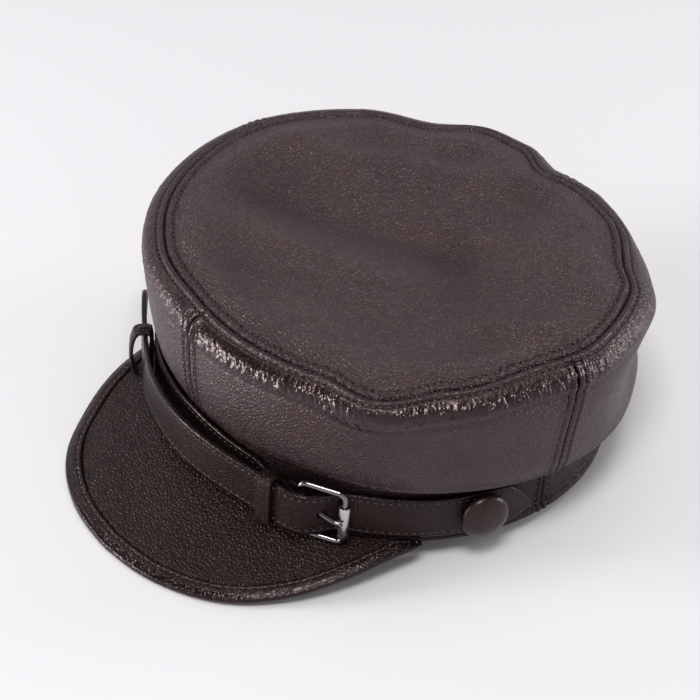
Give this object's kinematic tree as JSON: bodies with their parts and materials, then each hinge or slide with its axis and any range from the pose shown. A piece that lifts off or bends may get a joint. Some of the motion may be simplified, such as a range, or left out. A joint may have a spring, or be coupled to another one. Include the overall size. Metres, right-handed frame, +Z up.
{
  "type": "soft leather cap with short visor and buckled strap",
  "caption": "Brown leather cap with a low round crown, a short stitched visor, and a strap with keepers and a roller buckle over the visor.",
  "frame": {"origin": "on the surface the cap rests on, below the middle of the whole cap's box", "axes": "+Z up; the visor points along -Y; the wearer's left side is +X"},
  "size_m": [0.2228, 0.2504, 0.0897],
  "materials": {
    "crown_leather": "satin",
    "band_leather": "satin",
    "visor_leather": "satin",
    "strap_leather": "satin",
    "gunmetal": "polished"
  },
  "bodies": {
    "root": {"crown_top": "crown_leather", "crown_side_front_left": "crown_leather", "crown_side_front_right": "crown_leather", "crown_side_back_left": "crown_leather", "crown_side_back_right": "crown_leather", "headband": "band_leather", "visor": "visor_leather", "visor_binding": "visor_leather", "strap_outer": "strap_leather", "strap_inner": "strap_leather", "keeper_left": "strap_leather", "keeper_right": "strap_leather", "buckle_frame": "gunmetal", "buckle_roller": "gunmetal", "buckle_prong": "gunmetal", "button_left": "strap_leather", "button_right": "strap_leather"}
  },
  "joints": []
}
